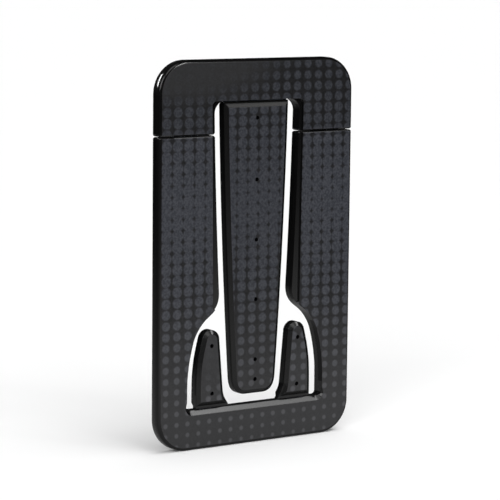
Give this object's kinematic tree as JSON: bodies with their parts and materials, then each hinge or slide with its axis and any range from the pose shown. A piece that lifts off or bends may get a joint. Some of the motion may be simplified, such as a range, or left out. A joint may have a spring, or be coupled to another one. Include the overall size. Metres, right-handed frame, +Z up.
{
  "type": "minimalist wallet",
  "caption": "Slim rounded-rectangle clip wallet: window frame, hinged head strip, long sprung tongue and two short sprung fins.",
  "frame": {"origin": "middle of the bottom edge, at mid thickness", "axes": "+Z up the plate from the bottom edge to the head, +X to the right seen from the printed face, printed face towards -Y"},
  "size_m": [0.056, 0.0036, 0.0935],
  "materials": {
    "front_plastic": "satin charcoal with a tone-on-tone dot print, gloss black flanks",
    "back_plastic": "satin black moulded plastic",
    "core_steel": "bare rolled strip",
    "spring_steel": "blued spring strip",
    "dowel_steel": "ground pin"
  },
  "bodies": {
    "frame": {"frame_front_shell": "front_plastic", "frame_back_shell": "back_plastic", "frame_core": "core_steel", "frame_pins": "dowel_steel", "left_hinge_leaf": "spring_steel", "right_hinge_leaf": "spring_steel", "left_fin_anchor_pin": "dowel_steel", "right_fin_anchor_pin": "dowel_steel"},
    "head": {"head_front_shell": "front_plastic", "head_back_shell": "back_plastic", "head_core": "core_steel", "head_pins": "dowel_steel", "tongue_anchor_pins": "dowel_steel"},
    "tongue": {"tongue_front_shell": "front_plastic", "tongue_back_shell": "back_plastic", "tongue_spring": "spring_steel", "tongue_pins": "dowel_steel"},
    "left_fin": {"left_fin_front_shell": "front_plastic", "left_fin_back_shell": "back_plastic", "left_fin_spring": "spring_steel", "left_fin_pin": "dowel_steel"},
    "right_fin": {"right_fin_front_shell": "front_plastic", "right_fin_back_shell": "back_plastic", "right_fin_spring": "spring_steel", "right_fin_pin": "dowel_steel"}
  },
  "joints": [
    {"name": "head_hinge", "type": "hinge", "parent": "frame", "child": "head", "pos_m": [0, 0, 0.0756], "axis": [1, 0, 0], "range_deg": [-8, 8], "stiffness_Nm_per_rad": 0.5, "deforming": ["left_hinge_leaf", "right_hinge_leaf"]},
    {"name": "tongue_flex", "type": "hinge", "parent": "head", "child": "tongue", "pos_m": [0, 0, 0.0835], "axis": [1, 0, 0], "range_deg": [-7, 7], "stiffness_Nm_per_rad": 0.5, "deforming": ["tongue_spring"]},
    {"name": "left_fin_flex", "type": "hinge", "parent": "frame", "child": "left_fin", "pos_m": [-0.0125, 0, 0.0096], "axis": [1, 0, 0], "range_deg": [-5, 5], "stiffness_Nm_per_rad": 0.05, "deforming": ["left_fin_spring"]},
    {"name": "right_fin_flex", "type": "hinge", "parent": "frame", "child": "right_fin", "pos_m": [0.0125, 0, 0.0096], "axis": [1, 0, 0], "range_deg": [-5, 5], "stiffness_Nm_per_rad": 0.05, "deforming": ["right_fin_spring"]}
  ]
}
